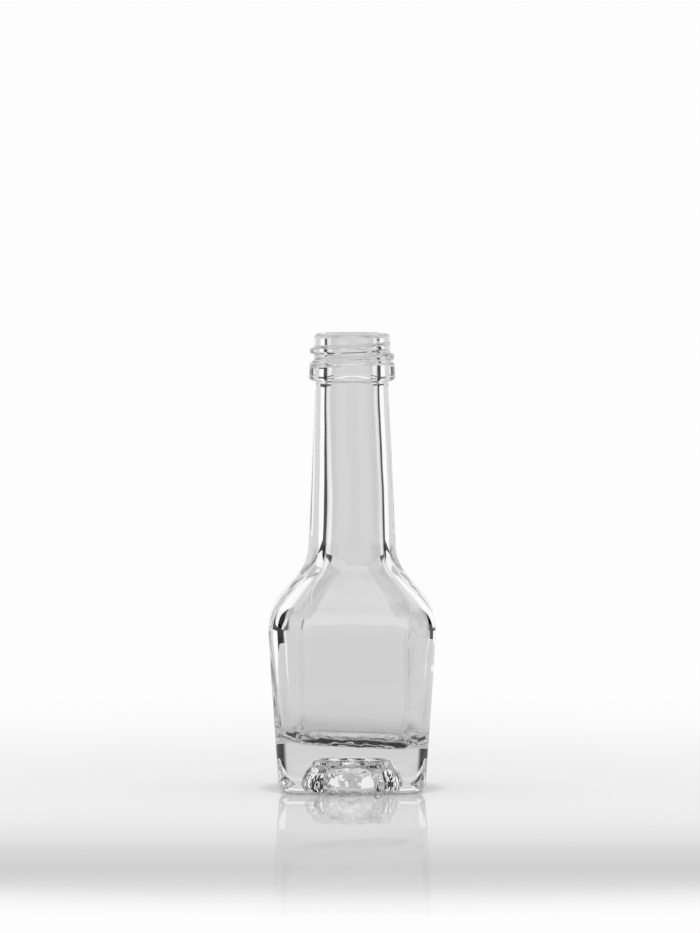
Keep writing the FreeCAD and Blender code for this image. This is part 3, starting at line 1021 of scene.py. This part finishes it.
@dataclass(frozen=True)
class AcrylicSheet:
    """Smooth pale acrylic sheet: near white, and it mirrors what stands on it at a low angle.

    Away from the bottle the sheet turns into the backdrop's plain white. Its colour holds painted light and shade:
    a painted shadow under the foot, a painted glow for camera rays that is darker in front, and a painted glow for
    glossy and transmission rays that is darker near the foot. Distances are in millimetres from the middle of the
    foot, those in front are negative, and each tone is sRGB hex.

    Attributes:
        sheet_tone: The sheet's own colour.
        painted_foot_shadow: Painted shadow: the sheet's colour darkened under the foot, where hardly any light
            falls.
        painted_shadow_edge: Where the painted shadow under the foot ends.
        white_starts: Where the turn to white starts in front and behind.
        front_turn: Where the start in front changes to the start behind.
        white_ends: Where the turn to white ends.
        mirror_ends: Where in front the mirror image is weakest and strongest.
        covers: How much the painted glow covers the mirror image at those two places.
        painted_glow_edge: Where the painted glow that shows through the glass starts.
        painted_glow_cover: How much that painted glow covers the sheet.
        painted_front_shade: Painted tones of the glow that camera rays see, from front to back, darker in front as
            painted shade.
        painted_glow_in_glass: Painted glow that shows through the glass, from the foot outwards, darker near the
            foot as painted shade.
    """

    roughness: float = 0.03
    specular: float = 0.25
    sheet_tone: str = "F2F2F2"
    painted_foot_shadow: str = "303030"
    painted_shadow_edge: tuple[float, float] = (16.0, 20.5)
    white_starts: tuple[float, float] = (190.0, 20.0)
    front_turn: tuple[float, float] = (-50.0, 0.0)
    white_ends: float = 250.0
    mirror_ends: tuple[float, float] = (-160.0, -20.0)
    covers: tuple[float, float] = (0.9, 0.12)
    painted_glow_edge: tuple[float, float] = (16.5, 20.0)
    painted_glow_cover: float = 0.9
    painted_front_shade: tuple[tuple[float, str], ...] = (
        (-250, "F4F4F4"),
        (-200, "DCDCDC"),
        (-165, "CCCCCC"),
        (-125, "D4D4D4"),
        (-70, "E8E8E8"),
        (-30, "F8F8F8"),
        (20, "FFFFFF"),
        (260, "FFFFFF"),
    )
    painted_glow_in_glass: tuple[tuple[float, str], ...] = (
        (20, "B0B0B0"),
        (60, "C0C0C0"),
        (160, "CCCCCC"),
        (240, "D3D3D3"),
    )

    def ease(self, tree: Tree, place: Socket, stops: tuple[tuple[float, str], ...]) -> Socket:
        """Lets one tone pass into the next along the floor.

        Args:
            tree: The material's tree.
            place: Where a point lies, in metres.
            stops: Places in millimetres, each with a colour.

        Returns:
            The tone.
        """
        low, high = stops[0][0], stops[-1][0]
        links = {"Value": place, "From Min": low * MM, "From Max": high * MM}
        along = add_node(tree, RANGE, links).outputs[0]
        tones = add_node(tree, RAMP, {0: along})
        set_stops(tones, [((spot - low) / (high - low), colour) for spot, colour in stops])
        return tones.outputs[0]

    def material(self) -> bpy.types.Material:
        """Makes the material."""
        made = bpy.data.materials.new("pale acrylic sheet")
        made.use_nodes = True
        tree = made.node_tree
        place = add_node(tree, "ShaderNodeTexCoord").outputs["Object"]
        y = add_node(tree, "ShaderNodeSeparateXYZ", {0: place}).outputs["Y"]
        reach = add_node(tree, VECTOR, {0: place}, operation="LENGTH").outputs["Value"]
        path = add_node(tree, "ShaderNodeLightPath").outputs

        # Painted shadow: the sheet's base colour is darkened under the foot, where the bottle's shadow falls.
        low, high = self.painted_shadow_edge
        links = {"Value": reach, "From Min": low * MM, "From Max": high * MM}
        under = add_node(tree, RANGE, links).outputs[0]
        links = {"Factor": under, "A": linear(self.painted_foot_shadow), "B": linear(self.sheet_tone)}
        shade = add_node(tree, MIX, links, data_type="RGBA").outputs["Result"]
        sheet = tree.nodes["Principled BSDF"]
        sheet.inputs["Roughness"].default_value = self.roughness
        sheet.inputs["Specular IOR Level"].default_value = self.specular
        tree.links.new(shade, sheet.inputs["Base Color"])

        # Painted shade: the glow that camera rays see darkens towards the front and turns to the backdrop's white
        # at the rim.
        low, high = self.front_turn
        front, back = self.white_starts
        links = {"Value": y, "From Min": low * MM, "From Max": high * MM, "To Min": front * MM, "To Max": back * MM}
        start = add_node(tree, RANGE, links).outputs[0]
        links = {"Value": reach, "From Min": start, "From Max": self.white_ends * MM}
        rim = add_node(tree, RANGE, links, interpolation_type="SMOOTHSTEP").outputs[0]
        low, high = self.mirror_ends
        most, least = self.covers
        links = {"Value": y, "From Min": low * MM, "From Max": high * MM, "To Min": most, "To Max": least}
        near = add_node(tree, RANGE, links, interpolation_type="SMOOTHSTEP").outputs[0]
        cover = add_node(tree, MATH, {0: rim, 1: near}, operation="MAXIMUM").outputs[0]
        links = {"Factor": rim, "A": self.ease(tree, y, self.painted_front_shade), "B": linear(Tone.BACKDROP.value)}
        painted_glow = add_node(tree, MIX, links, data_type="RGBA").outputs["Result"]

        # Painted glow for glossy and transmission rays only, darker near the foot: painted shade seen through the
        # glass.
        low, high = self.painted_glow_edge
        links = {"Value": reach, "From Min": low * MM, "From Max": high * MM, "To Max": self.painted_glow_cover}
        other = add_node(tree, RANGE, links).outputs[0]
        links = {0: path["Is Glossy Ray"], 1: path["Is Transmission Ray"]}
        in_glass = add_node(tree, MATH, links, operation="MAXIMUM").outputs[0]
        other = add_node(tree, MATH, {0: other, 1: in_glass}, operation="MULTIPLY").outputs[0]
        camera = path["Is Camera Ray"]
        factor = add_node(tree, MIX, {"Factor": camera, "A": other, "B": cover}).outputs["Result"]
        links = {"Factor": camera, "A": self.ease(tree, reach, self.painted_glow_in_glass), "B": painted_glow}
        painted_glow = add_node(tree, MIX, links, data_type="RGBA").outputs["Result"]

        # The sheet glows with these painted tones, mixed with its lit shading.
        plain = add_node(tree, "ShaderNodeEmission", {"Color": painted_glow, "Strength": 1.0}).outputs[0]
        mixed = add_node(tree, "ShaderNodeMixShader", {0: factor, 1: sheet.outputs[0], 2: plain}).outputs[0]
        tree.links.new(mixed, tree.nodes["Material Output"].inputs["Surface"])
        return made


@dataclass(frozen=True)
class Floor:
    """The round pale floor that the bottle stands on."""

    radius: float = 260.0
    sides: int = 96
    sheet: AcrylicSheet = field(default_factory=AcrylicSheet)

    def build(self) -> bpy.types.Object:
        """Lays the floor."""
        turns = [2 * math.pi * k / self.sides for k in range(self.sides)]
        rim = [(self.radius * MM * math.cos(t), self.radius * MM * math.sin(t), 0.0) for t in turns]
        mesh = bpy.data.meshes.new("floor")
        mesh.from_pydata(rim, [], [tuple(range(self.sides))])
        mesh.materials.append(self.sheet.material())
        made = bpy.data.objects.new("floor", mesh)
        bpy.context.scene.collection.objects.link(made)
        log.info("floor: %.0f mm across", 2 * self.radius)
        return made


@dataclass(frozen=True)
class LongLens:
    """The camera, level with the bottle, which looks a little down through a long lens.

    Attributes:
        aim: Point that the camera looks at.
        elevation: Degrees that it looks down.
        distance: Distance from that point.
        view_height: Height of what it sees there.
        sensor: Size of the camera's sensor.
        clip: Nearest and farthest distance that it sees, in metres.
    """

    aim: tuple[float, float, float] = (-0.45, 0.0, 68.3)
    elevation: float = 3.0
    distance: float = 1600.0
    view_height: float = 197.6
    sensor: float = 36.0
    clip: tuple[float, float] = (0.05, 20.0)

    def build(self) -> bpy.types.Object:
        """Places the camera."""
        data = bpy.data.cameras.new("camera")
        data.sensor_width = self.sensor
        data.lens = self.sensor * self.distance / self.view_height
        data.clip_start, data.clip_end = self.clip
        made = bpy.data.objects.new("camera", data)
        tilt = math.radians(self.elevation)
        back = Vector((0.0, -math.cos(tilt), math.sin(tilt)))
        made.location = (Vector(self.aim) + back * self.distance) * MM
        made.rotation_mode = "QUATERNION"
        made.rotation_quaternion = (-back).to_track_quat("-Z", "Y")
        bpy.context.scene.collection.objects.link(made)
        bpy.context.scene.camera = made
        log.info("camera: %.0f mm lens, %.0f mm away", data.lens, self.distance)
        return made


@dataclass(frozen=True)
class Studio:
    """Light tent, floor and camera."""

    tent: LightTent = field(default_factory=LightTent)
    floor: Floor = field(default_factory=Floor)
    camera: LongLens = field(default_factory=LongLens)
    light_bounces: int = 40

    def build(self) -> None:
        """Sets up the studio. Fewer bounces would leave black bands in the thick walls of the glass."""
        self.tent.build()
        self.floor.build()
        self.camera.build()
        scene = bpy.context.scene
        scene.view_settings.view_transform = "Standard"
        paths = scene.cycles
        paths.max_bounces = paths.glossy_bounces = paths.transmission_bounces = self.light_bounces


def main() -> None:
    """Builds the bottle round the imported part, then the studio, and notes the sizes."""
    logging.basicConfig(level=logging.INFO, format="%(name)s: %(message)s")
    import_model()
    Bottle().build()
    Studio().build()


if __name__ == "__main__":
    main()
